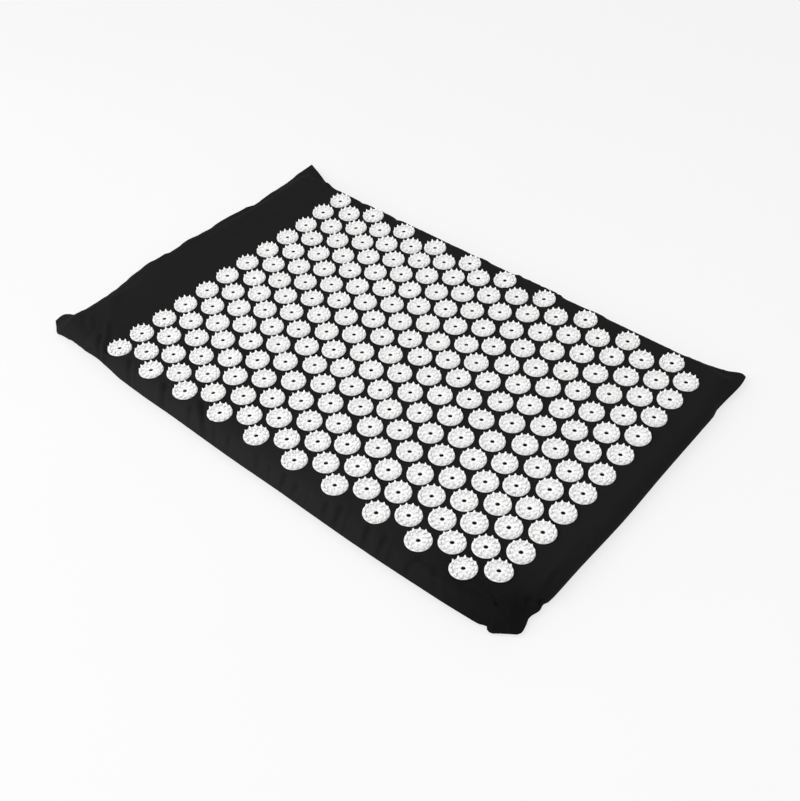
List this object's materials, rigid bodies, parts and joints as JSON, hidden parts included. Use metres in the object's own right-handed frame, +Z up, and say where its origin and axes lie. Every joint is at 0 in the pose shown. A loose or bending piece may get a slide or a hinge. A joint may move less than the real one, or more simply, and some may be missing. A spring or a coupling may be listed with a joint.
{
  "type": "acupressure mat",
  "caption": "Flat acupressure mat: foam pad in a cotton cover whose top carries staggered rows of plastic spike discs, open at one end with hook-and-loop tape.",
  "frame": {"origin": "centre of the foam pad, on the flat underside of the mat", "axes": "+X along the mat towards the end that opens, +Y across it, +Z up"},
  "size_m": [0.6602, 0.4275, 0.0254],
  "materials": {
    "spiked_cotton": "matt black plain-weave cotton",
    "disc": "satin white moulded plastic",
    "cotton": "matt black plain-weave cotton",
    "foam": "open-cell polyurethane foam",
    "tape": "woven nylon hook-and-loop tape"
  },
  "bodies": {
    "root": {"top_panel": "spiked_cotton", "bottom_panel": "cotton", "foam_pad": "foam", "hook_tape": "tape", "loop_tape": "tape"}
  },
  "joints": []
}
